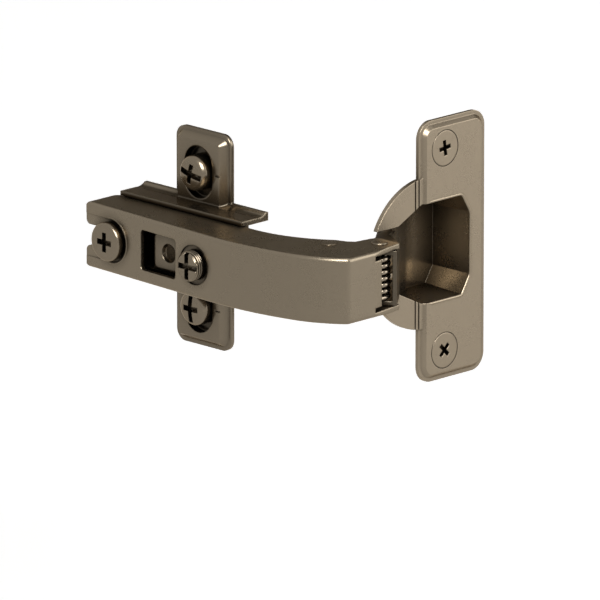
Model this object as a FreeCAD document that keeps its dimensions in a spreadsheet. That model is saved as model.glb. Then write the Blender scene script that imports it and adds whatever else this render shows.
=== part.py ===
import FreeCAD, Part

# Concealed hinge for a corner door, shown open by a right angle.
# Frame: the origin is on the back face of the mounting plate, midway between its two screws.
# X runs along the arm from the plate to the cup, Y goes into the panel that the plate is screwed to, Z is up.
# Lengths are in millimetres and angles in degrees.

import math
import os
import re

import Sketcher

doc = FreeCAD.newDocument("ConcealedHinge")
sheet = doc.addObject("Spreadsheet::Sheet", "Sizes")

DRIVING = [
    # sheet metal and general clearances
    ("gauge", 1.2),
    ("pin_play", 0.05),
    ("clear_cut", 5.0),
    ("through_cut", 40.0),
    # mounting plate: wings
    ("plate_screw_pitch", 32.0),
    ("wing_half_width", 8.9),
    ("wing_half_height", 25.7),
    ("wing_corner", 2.8),
    ("wing_rim", 0.9),
    ("wing_flange", 1.0),
    ("wing_lift", 2.8),
    ("wing_slope", 1.3),
    ("slot_width", 9.0),
    ("slot_height", 12.4),
    # mounting plate: body along the arm
    ("body_front", 20.0),
    ("body_rear", 19.7),
    ("lip_half", 9.8),
    ("shoulder_half", 9.0),
    ("shoulder_depth", 8.6),
    ("ridge_half", 5.9),
    ("ridge_depth", 16.0),
    ("lip_thickness", 0.8),
    ("lip_blend", 3.4),
    ("lip_blend_depth", 3.6),
    ("bead_inner", 8.0),
    ("strip_depth", 7.5),
    ("fold_radius", 1.1),
    ("pad_x", 4.0),
    ("pad_length", 9.2),
    ("pad_half", 4.2),
    ("pad_height", 0.3),
    ("pad_corner", 1.2),
    ("pad_hole", 4.4),
    ("recess_left", -5.2),
    ("recess_right", -0.9),
    ("recess_half", 4.6),
    ("recess_depth", 9.0),
    ("recess_corner", 0.8),
    ("slot_pocket", 2.0),
    ("plate_screw_hole", 7.4),
    # arm
    ("arm_half", 7.8),
    ("arm_rear_x", -21.9),
    ("arm_clearance", 1.4),
    ("arm_foot_y", -7.9),
    ("web_tilt", 3.0),
    ("web_run", 42.0),
    ("swan_radius", 84.0),
    ("swan_heading", 14.0),
    ("neck_radius", 27.3),
    ("neck_heading", 41.0),
    ("nose_radius", 1.9),
    ("tongue_end", 0.2),
    ("arm_edge", 0.9),
    ("foot_arc_x", 23.5),
    ("foot_arc_radius", 31.7),
    ("foot_arc_heading", 38.0),
    ("ear_root_x", 47.2),
    ("ear_root_y", -0.3),
    ("ear_back_x", 47.8),
    ("ear_tip_y", 6.9),
    ("ear_front_x", 55.3),
    ("notch_height", 1.1),
    ("notch_start", -2.2),
    ("rear_corner", 1.0),
    ("keyhole_neck", 5.0),
    ("keyhole_lobe", 1.2),
    ("keyhole_x", -13.3),
    ("keyhole_bore", 6.6),
    ("dish_radius", 5.1),
    ("dish_depth", 0.5),
    ("window_x", 2.95),
    ("window_length", 12.1),
    ("window_height", 9.6),
    ("window_corner", 1.0),
    # clamp screw
    ("clamp_x", -13.4),
    ("clamp_head", 9.2),
    ("clamp_head_height", 2.7),
    ("clamp_cross", 4.6),
    ("clamp_cross_width", 1.3),
    ("clamp_cross_depth", 1.5),
    ("clamp_shank", 4.2),
    ("clamp_reach", 6.6),
    # side adjusting screw
    ("side_x", 15.2),
    ("side_thread", 6.6),
    ("side_ring", 9.4),
    ("side_ring_depth", 0.7),
    ("side_proud", 2.3),
    ("side_cross_width", 1.3),
    ("side_cross_depth", 1.3),
    ("side_neck", 3.6),
    ("side_foot", 5.4),
    ("side_foot_height", 1.2),
    # plate screws
    ("plate_head", 8.4),
    ("plate_head_height", 2.9),
    ("head_dome", 11.0),
    ("head_round", 1.5),
    ("plate_cross_long", 6.6),
    ("plate_cross_short", 4.6),
    ("plate_cross_width", 1.3),
    ("plate_cross_depth", 1.6),
    ("plate_screw_shank", 5.0),
    ("plate_screw_reach", 4.8),
    # pivots on the arm, in the plan
    ("tip_pin_x", 51.9),
    ("tip_pin_y", 3.9),
    ("rear_pin_x", 44.2),
    ("rear_pin_y", -4.6),
    ("tip_pin", 2.4),
    ("tip_rivet", 3.9),
    ("tip_rivet_height", 0.3),
    ("rivet_slope", -35.0),
    ("rear_pin", 2.4),
    ("rear_rivet", 3.5),
    ("rear_rivet_height", 0.15),
    # cup, in the plan: seat plane on the door, centre line and pivots
    ("cup_face_x", 46.1),
    ("cup_seat", 1.8),
    ("cup_y", 25.0),
    ("disc_offset", 0.6),
    ("disc_radius", 17.9),
    ("disc_drop", 0.6),
    ("cup_depth", 11.3),
    ("cup_wall", 0.9),
    ("groove_first", -3.1),
    ("groove_second", -1.95),
    ("groove_width", 0.4),
    ("groove_depth", 0.3),
    ("cup_draft", 3.6),
    ("pocket_half", 11.85),
    ("pocket_left", -0.9),
    ("pocket_right", 11.7),
    ("pocket_end", 14.4),
    ("pocket_end_half", 7.4),
    ("channel_half", 8.0),
    ("channel_left", -8.6),
    ("floor_left", 7.74),
    ("floor_bend", 3.52),
    ("floor_bend_depth", 10.5),
    ("floor_bend_radius", 9.0),
    ("scoop_rise", -1.5),
    ("scoop_rise_depth", 8.05),
    ("scoop_left", -6.6),
    ("scoop_depth", 6.2),
    ("cup_screw_pitch", 48.0),
    ("cup_screw_y", 6.1),
    ("cup_wing_left", -1.6),
    ("cup_wing_right", 19.9),
    ("cup_wing_margin", 6.95),
    ("cup_wing_corner", 4.0),
    ("cup_wing_rim", 0.9),
    ("cup_wing_flange", 0.9),
    ("cup_wing_slope", 0.9),
    ("cup_pin", 2.0),
    ("outer_pivot_y", -8.9),
    ("outer_pivot_depth", 4.38),
    ("inner_pivot_y", -14.49),
    ("inner_pivot_depth", 4.44),
    ("cheek_out", 4.5),
    ("cheek_round", 1.8),
    ("cheek_lip", 1.0),
    ("cheek_foot", -0.6),
    ("cheek_foot_depth", 8.9),
    ("seat_open", 2.0),
    ("seat_span", 12.0),
    ("channel_depth", 6.0),
    ("floor_lip", 0.2),
    ("seat_left", 0.55),
    # cup screws
    ("cup_head", 8.4),
    ("cup_head_cone", 2.6),
    ("cup_cross", 3.7),
    ("cup_cross_width", 1.0),
    ("cup_cross_depth", 1.5),
    ("cup_screw_shank", 4.0),
    ("cup_screw_reach", 4.0),
    # links
    ("link_gauge", 1.0),
    ("link_gap", 0.15),
    ("link_web", 4.1),
    ("link_back", 1.75),
    ("link_web_run", 5.4),
    ("link_eye", 1.75),
    ("link_neck", 12.6),
    ("link_neck_half", 1.0),
    ("inner_link_gauge", 1.8),
    ("inner_link_wide", 5.9),
    ("inner_link_narrow", 3.3),
    ("inner_link_taper", 8.0),
    ("inner_eye", 2.2),
    ("inner_cup_eye", 1.8),
    # closing spring
    ("spring_wire", 1.2),
    ("spring_outside", 5.2),
    ("spring_pitch", 1.5),
    ("spring_turns", 6.11),
    ("spring_arm_leg", 5.4),
    ("spring_link_leg", 4.6),
]

DERIVED = [
    # pieces that follow their neighbours
    ("arm_rear_y", "-ridge_depth - arm_clearance"),
    ("cup_wing_half", "cup_screw_pitch / 2 + cup_wing_margin"),
    # outer face of the arm's web, from the rear end to the nose, as tangent runs
    ("swan_x", "arm_rear_x + web_run * cos(web_tilt * 1 deg)"),
    ("swan_y", "arm_rear_y - web_run * sin(web_tilt * 1 deg)"),
    ("neck_x", "swan_x + swan_radius * (sin(swan_heading * 1 deg) + sin(web_tilt * 1 deg))"),
    ("neck_y", "swan_y + swan_radius * (cos(web_tilt * 1 deg) - cos(swan_heading * 1 deg))"),
    ("nose_x", "neck_x + neck_radius * (sin(neck_heading * 1 deg) - sin(swan_heading * 1 deg))"),
    ("nose_y", "neck_y + neck_radius * (cos(swan_heading * 1 deg) - cos(neck_heading * 1 deg))"),
    ("tongue_x", "nose_x + nose_radius * (1 - sin(neck_heading * 1 deg))"),
    ("tongue_y", "nose_y + nose_radius * cos(neck_heading * 1 deg)"),
    ("foot_bend_x", "foot_arc_x + foot_arc_radius * sin(foot_arc_heading * 1 deg)"),
    ("foot_bend_y", "arm_foot_y + foot_arc_radius * (1 - cos(foot_arc_heading * 1 deg))"),
    # web height at the two screws
    ("clamp_web_y", "arm_rear_y - (clamp_x - arm_rear_x) * tan(web_tilt * 1 deg)"),
    ("side_web_y", "arm_rear_y - (side_x - arm_rear_x) * tan(web_tilt * 1 deg)"),
    # inside of the arm and of the outer link
    ("arm_inner", "arm_half - gauge"),
    ("lug_out", "arm_inner - link_gap"),
    ("lug_in", "lug_out - link_gauge"),
    # cup pivots in the plan
    ("outer_pivot_x", "cup_face_x - outer_pivot_depth"),
    ("outer_pivot_py", "cup_y + outer_pivot_y"),
    ("inner_pivot_x", "cup_face_x - inner_pivot_depth"),
    ("inner_pivot_py", "cup_y + inner_pivot_y"),
    ("seat_x", "cup_face_x - cup_seat"),
    ("disc_face_x", "cup_face_x - disc_drop"),
    ("outer_link_length", "sqrt((outer_pivot_x - tip_pin_x)^2 + (outer_pivot_py - tip_pin_y)^2)"),
    ("inner_link_length", "sqrt((inner_pivot_x - rear_pin_x)^2 + (inner_pivot_py - rear_pin_y)^2)"),
    ("spring_radius", "(spring_outside - spring_wire) / 2"),
    ("spring_height", "spring_pitch * spring_turns"),
]

for row, (alias, value) in enumerate(DRIVING, start=1):
    sheet.set(f"A{row}", alias)
    sheet.set(f"B{row}", str(value))
    sheet.setAlias(f"B{row}", alias)
for row, (alias, formula) in enumerate(DERIVED, start=1):
    sheet.set(f"D{row}", alias)
    sheet.set(f"E{row}", "=" + formula)
    sheet.setAlias(f"E{row}", alias)
doc.recompute()

ALIASES = {alias for alias, _ in DRIVING + DERIVED}
ORIGIN_POINT = -1
ROLE = {"plan": "XY_Plane", "front": "XZ_Plane", "side": "YZ_Plane"}


def bound(text):
    """The same expression as another object writes it, with the sheet's name before each alias."""

    def named(match):
        """A word of the expression, with the sheet's name when it is an alias."""
        return "Sizes." * (match.group(0) in ALIASES) + match.group(0)

    return re.sub(r"[a-z_]+[a-z_0-9]*", named, text)


def number(text):
    """What an expression in the sheet's aliases comes to."""
    result = sheet.evalExpression(text)
    return float(getattr(result, "Value", result))


def new_body(label):
    """An empty body with a label of its own."""
    body = doc.addObject("PartDesign::Body", label)
    body.Label = label
    return body


def new_sketch(body, name, plane, lift="0", x="0", y="0", turn=None):
    """A sketch on one of the body's own planes, lifted along the plane's normal and moved in it."""
    sketch = body.newObject("Sketcher::SketchObject", name)
    origin_plane = [item for item in body.Origin.OriginFeatures if item.Role == ROLE[plane]][0]
    sketch.AttachmentSupport = (origin_plane, [""])
    sketch.MapMode = "FlatFace"
    sketch.setExpression("AttachmentOffset.Base.x", bound(x))
    sketch.setExpression("AttachmentOffset.Base.y", bound(y))
    sketch.setExpression("AttachmentOffset.Base.z", bound(lift))
    if turn:
        sketch.setExpression("AttachmentOffset.Rotation.Angle", bound(turn))
    return sketch


def hold(sketch, kind, *where, text):
    """Adds one dimension to a sketch and binds it to the sheet."""
    index = sketch.addConstraint(Sketcher.Constraint(kind, *where, number(text)))
    sketch.setExpression(f"Constraints[{index}]", bound(text))


def trace(sketch, corners):
    """Draws a closed outline through corners (x, y) or (x, y, radius, turn), where the last two make the edge
    that leaves the corner an arc: turn is 1 for an arc that turns left, and -1 for one that turns right."""
    points = [FreeCAD.Vector(number(c[0]), number(c[1]), 0) for c in corners]
    first = sketch.GeometryCount
    for i, corner in enumerate(corners):
        start, end = points[i], points[(i + 1) % len(corners)]
        if len(corner) == 2:
            sketch.addGeometry(Part.LineSegment(start, end), False)
            continue
        radius, turn = number(corner[2]), corner[3]
        chord = end - start
        rise = math.sqrt(max(radius**2 - (chord.Length / 2) ** 2, 0.0))
        side = FreeCAD.Vector(-chord.y, chord.x, 0).normalize()
        centre = (start + end) * 0.5 + side * (rise * turn)
        middle = centre - side * (radius * turn)
        sketch.addGeometry(Part.Arc(start, middle, end), False)
    count = len(corners)
    ends = []
    for i, corner in enumerate(corners):
        forward = len(corner) == 2 or corner[3] > 0
        ends.append((1, 2) if forward else (2, 1))
    for i in range(count):
        j = (i + 1) % count
        sketch.addConstraint(Sketcher.Constraint("Coincident", first + i, ends[i][1], first + j, ends[j][0]))
    for i, corner in enumerate(corners):
        hold(sketch, "DistanceX", ORIGIN_POINT, 1, first + i, ends[i][0], text=corner[0])
        hold(sketch, "DistanceY", ORIGIN_POINT, 1, first + i, ends[i][0], text=corner[1])
        if len(corner) == 4 and near((points[(i + 1) % count] - points[i]).Length, 2 * number(corner[2])):
            sketch.addConstraint(Sketcher.Constraint("Symmetric", first + i, 1, first + i, 2, first + i, 3))
        elif len(corner) == 4:
            hold(sketch, "Radius", first + i, text=corner[2])


def ring(sketch, x, y, diameter):
    """Draws a circle at a place in the sketch."""
    index = sketch.addGeometry(
        Part.Circle(FreeCAD.Vector(number(x), number(y), 0), FreeCAD.Vector(0, 0, 1), number(diameter) / 2), False
    )
    hold(sketch, "DistanceX", ORIGIN_POINT, 1, index, 3, text=x)
    hold(sketch, "DistanceY", ORIGIN_POINT, 1, index, 3, text=y)
    hold(sketch, "Diameter", index, text=diameter)


def box_corners(x0, y0, x1, y1):
    """The four corners of a rectangle, turning left."""
    return [(x0, y0), (x1, y0), (x1, y1), (x0, y1)]


def round_box(x0, y0, x1, y1, radius):
    """A rectangle with round corners, turning left."""
    return [
        (f"{x0} + ({radius})", y0),
        (f"{x1} - ({radius})", y0, radius, 1),
        (x1, f"{y0} + ({radius})"),
        (x1, f"{y1} - ({radius})", radius, 1),
        (f"{x1} - ({radius})", y1),
        (f"{x0} + ({radius})", y1, radius, 1),
        (x0, f"{y1} - ({radius})"),
        (x0, f"{y0} + ({radius})", radius, 1),
    ]


def obround(x, y, width, height):
    """An upright slot with round ends, turning left."""
    return [
        (f"{x} + {width} / 2", f"{y} - ({height} - {width}) / 2"),
        (f"{x} + {width} / 2", f"{y} + ({height} - {width}) / 2", f"{width} / 2", 1),
        (f"{x} - {width} / 2", f"{y} + ({height} - {width}) / 2"),
        (f"{x} - {width} / 2", f"{y} - ({height} - {width}) / 2", f"{width} / 2", 1),
    ]


def settled(feature, sketch):
    """Recomputes, hides the sketch, and stops at the first feature that fails."""
    sketch.Visibility = False
    doc.recompute()
    if {"Invalid", "Error", "Touched"} & set(feature.State):
        raise RuntimeError(f"{feature.Name} did not build: {feature.State}")
    return feature


def pad(body, sketch, name, length, both=False, back=False, second=None, taper=None):
    """Grows a sketch into the body: to one side, to both sides by half, or by two lengths."""
    feature = body.newObject("PartDesign::Pad", name)
    feature.Profile = sketch
    feature.setExpression("Length", bound(length))
    feature.Reversed = back
    if both:
        feature.SideType = "Symmetric"
    if second:
        feature.SideType = "Two sides"
        feature.setExpression("Length2", bound(second))
    if taper:
        feature.setExpression("TaperAngle", bound(taper))
    return settled(feature, sketch)


def pocket(body, sketch, name, length=None, both=False, back=False, taper=None):
    """Cuts a sketch out of the body, and stops when it takes nothing away."""
    before = body.Shape.Volume
    feature = body.newObject("PartDesign::Pocket", name)
    feature.Profile = sketch
    if length:
        feature.setExpression("Length", bound(length))
    else:
        feature.Type = "ThroughAll"
    feature.Reversed = back
    if both:
        feature.SideType = "Symmetric"
    if taper:
        feature.setExpression("TaperAngle", bound(taper))
    settled(feature, sketch)
    if not body.Shape.Volume < before - 1e-6:
        raise RuntimeError(f"{body.Label}: {name} cuts nothing")
    return feature


def turned(body, sketch, name, cut=False):
    """Turns a sketch about its own upright axis."""
    feature = body.newObject("PartDesign::Groove" if cut else "PartDesign::Revolution", name)
    feature.Profile = sketch
    feature.ReferenceAxis = (sketch, ["V_Axis"])
    feature.Angle = 360.0
    return settled(feature, sketch)


def rounded(body, name, radius, wanted):
    """Rounds the edges of the body that a test picks out."""
    base = body.Tip
    names = [f"Edge{i}" for i, edge in enumerate(base.Shape.Edges, start=1) if wanted(edge)]
    if not names:
        raise RuntimeError(f"{body.Label}: {name} finds no edge")
    feature = body.newObject("PartDesign::Fillet", name)
    feature.Base = (base, names)
    feature.setExpression("Radius", bound(radius))
    doc.recompute()
    return feature


def near(value, target, slack=1e-3):
    """Whether two lengths are the same."""
    return abs(value - target) < slack


def middle_of(edge):
    """The point half way along an edge."""
    return edge.valueAt((edge.FirstParameter + edge.LastParameter) / 2)


def mounting_plate():
    """The stamped cross-shaped plate, with a stepped channel along the arm and a sloped wing above and below it."""
    body = new_body("mounting_plate")
    rim = new_sketch(body, "PlateRim", "front")
    trace(rim, round_box("-wing_half_width", "-wing_half_height", "wing_half_width", "wing_half_height",
                         "wing_corner"))
    pad(body, rim, "PlateRimPad", "wing_flange")
    face = new_sketch(body, "PlateFace", "front", lift="wing_flange")
    trace(face, round_box("-wing_half_width + wing_rim", "-wing_half_height + wing_rim",
                          "wing_half_width - wing_rim", "wing_half_height - wing_rim", "wing_corner - wing_rim"))
    pad(body, face, "PlateFacePad", "wing_lift - wing_flange",
        taper="-atan(wing_slope / (wing_lift - wing_flange)) / 1 deg")
    channel = new_sketch(body, "PlateChannel", "side")
    half = [
        ("-lip_thickness", "lip_half", "lip_blend", -1),
        ("-lip_blend_depth", "shoulder_half"),
        ("-shoulder_depth", "shoulder_half"),
        ("-shoulder_depth", "bead_inner"),
        ("-strip_depth", "bead_inner"),
        ("-strip_depth", "ridge_half"),
        ("-ridge_depth + fold_radius", "ridge_half", "fold_radius", 1),
        ("-ridge_depth", "ridge_half - fold_radius"),
    ]
    other = []
    for k in range(len(half) - 1, -1, -1):
        x, z = half[k][:2]
        arc = half[k - 1][2:] if k and len(half[k - 1]) == 4 else ()
        other.append((x, f"-({z})") + arc)
    outside = [("0", "lip_half")] + half + other + [("0", "-lip_half")]
    trace(channel, outside)
    pad(body, channel, "PlateChannelPad", "body_front", second="body_rear")
    for name, start, end in (("Front", "recess_right + gauge", "body_front + 1"),
                             ("Rear", "-body_rear - 1", "recess_left - gauge")):
        hollow = new_sketch(body, f"Plate{name}Hollow", "side", lift=start)
        trace(hollow, [
            ("1", "-shoulder_half + gauge"),
            ("1", "shoulder_half - gauge"),
            ("-strip_depth + gauge", "shoulder_half - gauge"),
            ("-strip_depth + gauge", "ridge_half - gauge"),
            ("-ridge_depth + gauge", "ridge_half - gauge"),
            ("-ridge_depth + gauge", "-ridge_half + gauge"),
            ("-strip_depth + gauge", "-ridge_half + gauge"),
            ("-strip_depth + gauge", "-shoulder_half + gauge"),
        ])
        pocket(body, hollow, f"Plate{name}HollowCut", f"({end}) - ({start})", back=True)
    pad_sketch = new_sketch(body, "SpringPad", "front", lift="ridge_depth - 0.1")
    trace(pad_sketch, round_box("pad_x - pad_length / 2", "-pad_half", "pad_x + pad_length / 2", "pad_half",
                                "pad_corner"))
    pad(body, pad_sketch, "SpringPadRise", "pad_height + 0.1")
    recess = new_sketch(body, "PlateRecess", "front", lift="ridge_depth + 1")
    trace(recess, round_box("recess_left", "-recess_half", "recess_right", "recess_half", "recess_corner"))
    pocket(body, recess, "PlateRecessCut", "recess_depth + 1")
    for name, sign in (("Upper", ""), ("Lower", "-")):
        slot = new_sketch(body, f"Wing{name}Slot", "front", lift="wing_lift - slot_pocket")
        trace(slot, obround("0", f"{sign}plate_screw_pitch / 2", "slot_width", "slot_height"))
        pocket(body, slot, f"Wing{name}SlotCut", "slot_pocket + 1", back=True)
        hole = new_sketch(body, f"Wing{name}Hole", "front")
        ring(hole, "0", f"{sign}plate_screw_pitch / 2", "plate_screw_hole")
        pocket(body, hole, f"Wing{name}HoleCut", both=True)
        mark = new_sketch(body, f"Wing{name}Mark", "front", lift="wing_lift - 0.25")
        trace(mark, box_corners("slot_width / 2 + 1", f"{sign}plate_screw_pitch / 2 - 0.15",
                                "slot_width / 2 + 2.6", f"{sign}plate_screw_pitch / 2 + 0.15"))
        pocket(body, mark, f"Wing{name}MarkCut", "1", back=True)
    thread = new_sketch(body, "ClampThread", "front")
    ring(thread, "clamp_x", "0", "clamp_shank + 2 * pin_play")
    pocket(body, thread, "ClampThreadCut", both=True)
    hole = new_sketch(body, "PadHole", "front")
    ring(hole, "pad_x", "0", "pad_hole")
    pocket(body, hole, "PadHoleCut", both=True)
    return body


def hinge_arm():
    """The arm: one folded channel whose web runs level, swells, and folds down in front as a tongue."""
    body = new_body("hinge_arm")
    outline = new_sketch(body, "ArmOutline", "plan")
    trace(outline, [
        ("arm_rear_x", "arm_rear_y"),
        ("swan_x", "swan_y", "swan_radius", 1),
        ("neck_x", "neck_y", "neck_radius", 1),
        ("nose_x", "nose_y", "nose_radius", 1),
        ("tongue_x", "tongue_y"),
        ("tongue_x", "notch_start"),
        ("ear_front_x", "ear_tip_y"),
        ("ear_back_x + 1.5", "ear_tip_y"),
        ("ear_back_x", "ear_tip_y - 1.5"),
        ("ear_root_x", "ear_root_y + 1.2"),
        ("ear_root_x - 1.5", "ear_root_y"),
        ("foot_bend_x", "foot_bend_y", "foot_arc_radius", -1),
        ("foot_arc_x", "arm_foot_y"),
        ("arm_rear_x + 2", "arm_foot_y"),
        ("arm_rear_x", "arm_foot_y - 2"),
    ])
    pad(body, outline, "ArmBlank", "2 * arm_half", both=True)
    half = number("arm_half")
    rear, front = number("arm_rear_x"), number("tongue_x")
    web = number("arm_foot_y") - 3.0

    def long_edge(edge):
        """The outer edges between the web or tongue and a flange."""
        flat = near(abs(edge.Vertexes[0].Z), half) and near(abs(edge.Vertexes[-1].Z), half)
        point = middle_of(edge)
        same = near(edge.Vertexes[0].Z, edge.Vertexes[-1].Z)
        ends = [near(v.X, front) for v in edge.Vertexes]
        on_web = point.y < web and point.x > rear + 0.5
        return flat and same and (on_web or all(ends))

    rounded(body, "ArmLongEdges", "arm_edge", long_edge)
    void = new_sketch(body, "ArmInside", "plan")
    trace(void, [
        ("arm_rear_x - 1", "arm_rear_y + gauge"),
        ("swan_x + gauge * sin(web_tilt * 1 deg)", "swan_y + gauge * cos(web_tilt * 1 deg)",
         "swan_radius - gauge", 1),
        ("neck_x - gauge * sin(swan_heading * 1 deg)", "neck_y + gauge * cos(swan_heading * 1 deg)",
         "neck_radius - gauge", 1),
        ("nose_x - gauge * sin(neck_heading * 1 deg)", "nose_y + gauge * cos(neck_heading * 1 deg)",
         "nose_radius - gauge", 1),
        ("tongue_x - gauge", "tongue_y"),
        ("tongue_x - gauge", "ear_tip_y + 2"),
        ("arm_rear_x - 1", "ear_tip_y + 2"),
    ])
    pocket(body, void, "ArmInsideCut", "2 * arm_inner", both=True)
    front_gap = new_sketch(body, "TongueEnd", "plan")
    trace(front_gap, box_corners("tongue_x - 2 * gauge", "tongue_end", "tongue_x + 2", "ear_tip_y + 2"))
    pocket(body, front_gap, "TongueEndCut", "2 * arm_inner", both=True)
    notch = new_sketch(body, "TongueNotches", "side")
    for low, high in (("arm_inner - notch_height", "arm_inner"), ("-arm_inner", "-arm_inner + notch_height")):
        trace(notch, box_corners("notch_start", low, "tongue_end + 1", high))
    pocket(body, notch, "TongueNotchesCut", both=True)
    keyhole = new_sketch(body, "Keyhole", "front")
    trace(keyhole, [
        ("arm_rear_x - 1", "-keyhole_neck / 2 - keyhole_lobe"),
        ("arm_rear_x", "-keyhole_neck / 2 - keyhole_lobe", "keyhole_lobe", -1),
        ("arm_rear_x + keyhole_lobe", "-keyhole_neck / 2"),
        ("keyhole_x", "-keyhole_neck / 2"),
        ("keyhole_x", "keyhole_neck / 2"),
        ("arm_rear_x + keyhole_lobe", "keyhole_neck / 2", "keyhole_lobe", -1),
        ("arm_rear_x", "keyhole_neck / 2 + keyhole_lobe"),
        ("arm_rear_x - 1", "keyhole_neck / 2 + keyhole_lobe"),
    ])
    pocket(body, keyhole, "KeyholeCut", both=True)
    bore = new_sketch(body, "KeyholeBore", "front")
    ring(bore, "keyhole_x", "0", "keyhole_bore")
    pocket(body, bore, "KeyholeBoreCut", both=True)
    dish = new_sketch(body, "ClampDish", "front", lift="-clamp_web_y - dish_depth")
    trace(dish, [
        ("arm_rear_x - 1", "-dish_radius"),
        ("keyhole_x", "-dish_radius", "dish_radius", 1),
        ("keyhole_x", "dish_radius"),
        ("arm_rear_x - 1", "dish_radius"),
    ])
    pocket(body, dish, "ClampDishCut", "clear_cut", back=True)
    window = new_sketch(body, "ArmWindow", "front")
    trace(window, round_box("window_x - window_length / 2", "-window_height / 2",
                            "window_x + window_length / 2", "window_height / 2", "window_corner"))
    pocket(body, window, "ArmWindowCut", both=True)
    thread = new_sketch(body, "SideThread", "front")
    ring(thread, "side_x", "0", "side_thread + 2 * pin_play")
    pocket(body, thread, "SideThreadCut", both=True)
    ring_seat = new_sketch(body, "SideRing", "front", lift="-side_web_y - side_ring_depth")
    ring(ring_seat, "side_x", "0", "side_ring")
    pocket(body, ring_seat, "SideRingCut", "clear_cut", back=True)
    pins = new_sketch(body, "ArmPivots", "plan")
    ring(pins, "tip_pin_x", "tip_pin_y", "tip_pin + 2 * pin_play")
    ring(pins, "rear_pin_x", "rear_pin_y", "rear_pin + 2 * pin_play")
    pocket(body, pins, "ArmPivotsCut", both=True)
    corners = new_sketch(body, "RearCorners", "front")
    trace(corners, [
        ("arm_rear_x - 1", "arm_half + 1"),
        ("arm_rear_x - 1", "arm_half - rear_corner"),
        ("arm_rear_x", "arm_half - rear_corner", "rear_corner", -1),
        ("arm_rear_x + rear_corner", "arm_half"),
        ("arm_rear_x + rear_corner", "arm_half + 1"),
    ])
    trace(corners, [
        ("arm_rear_x - 1", "-arm_half + rear_corner"),
        ("arm_rear_x - 1", "-arm_half - 1"),
        ("arm_rear_x + rear_corner", "-arm_half - 1"),
        ("arm_rear_x + rear_corner", "-arm_half", "rear_corner", -1),
        ("arm_rear_x", "-arm_half + rear_corner"),
    ])
    pocket(body, corners, "RearCornersCut", both=True)
    return body


def headed_screw(label, x, z, seat, head, height, shank, reach):
    """A screw whose axis runs along Y: a domed head standing off its seat, and a plain shank into the panel."""
    body = new_body(label)
    profile = new_sketch(body, f"{label}_profile", "plan", x=x, lift=z)
    side = f"({head} / 2)"
    trace(profile, [
        ("0", reach),
        ("0", f"{seat} - {height}", "head_dome", 1),
        (f"{side} - 1.3", f"{seat} - {height} + 0.38", "head_round", 1),
        (side, f"{seat} - {height} + 1.7"),
        (side, seat),
        (f"{shank} / 2", seat),
        (f"{shank} / 2", f"{reach} - 0.6"),
        (f"{shank} / 2 - 0.6", reach),
    ])
    turned(body, profile, f"{label}_turn")
    return body


def cross_recess(body, x, z, top, across, width, depth, turn, over=None):
    """Cuts a cross recess into a screw head that faces -Y. The second arm is as long as the first, or `over`."""
    for k, (spin, across) in enumerate(((turn, across), (turn + 90, over or across))):
        arm = new_sketch(body, f"{body.Label}_cross{k}", "front", lift=f"-({top}) - {depth}", x=x, y=z,
                         turn=str(spin))
        trace(arm, box_corners(f"-{across} / 2", f"-{width} / 2", f"{across} / 2", f"{width} / 2"))
        pocket(body, arm, f"{body.Label}_crosscut{k}", "clear_cut", back=True)


def plate_screw(label, sign, turn):
    """One of the two screws that hold the plate to the panel."""
    place = f"{sign}plate_screw_pitch / 2"
    body = headed_screw(label, "0", place, "(slot_pocket - wing_lift)", "plate_head",
                        "(plate_head_height + slot_pocket)", "plate_screw_shank", "plate_screw_reach")
    cross_recess(body, "0", place, "-wing_lift - plate_head_height", "plate_cross_long", "plate_cross_width",
                 "plate_cross_depth", turn, "plate_cross_short")
    return body


def clamp_screw():
    """The screw that clamps the arm to the plate, with a flange under its head."""
    body = new_body("clamp_screw")
    profile = new_sketch(body, "ClampProfile", "plan", x="clamp_x")
    seat = "(clamp_web_y + dish_depth)"
    top = f"({seat} - clamp_head_height)"
    trace(profile, [
        ("0", "-ridge_depth + clamp_reach"),
        ("0", top),
        ("clamp_head / 2 - 0.8", top, "0.8", 1),
        ("clamp_head / 2", f"{top} + 0.8"),
        ("clamp_head / 2", f"{seat} - 1.1"),
        ("clamp_head / 2 - 0.7", f"{seat} - 1.1"),
        ("clamp_head / 2 - 0.7", seat),
        ("clamp_shank / 2", seat),
        ("clamp_shank / 2", "-ridge_depth + clamp_reach - 0.7"),
        ("clamp_shank / 2 - 0.7", "-ridge_depth + clamp_reach"),
    ])
    turned(body, profile, "ClampTurn")
    cross_recess(body, "clamp_x", "0", "clamp_web_y + dish_depth - clamp_head_height", "clamp_cross",
                 "clamp_cross_width", "clamp_cross_depth", 0)
    return body


def side_adjusting_screw():
    """The grub screw that sets how far the arm stands off the plate."""
    body = new_body("side_adjusting_screw")
    profile = new_sketch(body, "SideProfile", "plan", x="side_x")
    trace(profile, [
        ("0", "-ridge_depth - pin_play"),
        ("0", "side_web_y - side_proud"),
        ("side_thread / 2 - 0.4", "side_web_y - side_proud"),
        ("side_thread / 2", "side_web_y - side_proud + 0.4"),
        ("side_thread / 2", "-ridge_depth - side_foot_height - 1.2"),
        ("side_neck / 2", "-ridge_depth - side_foot_height - 0.6"),
        ("side_neck / 2", "-ridge_depth - side_foot_height"),
        ("side_foot / 2", "-ridge_depth - side_foot_height"),
        ("side_foot / 2", "-ridge_depth - pin_play"),
    ])
    turned(body, profile, "SideTurn")
    cross_recess(body, "side_x", "0", "side_web_y - side_proud", "2 * side_thread", "side_cross_width",
                 "side_cross_depth", 0)
    return body


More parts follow.
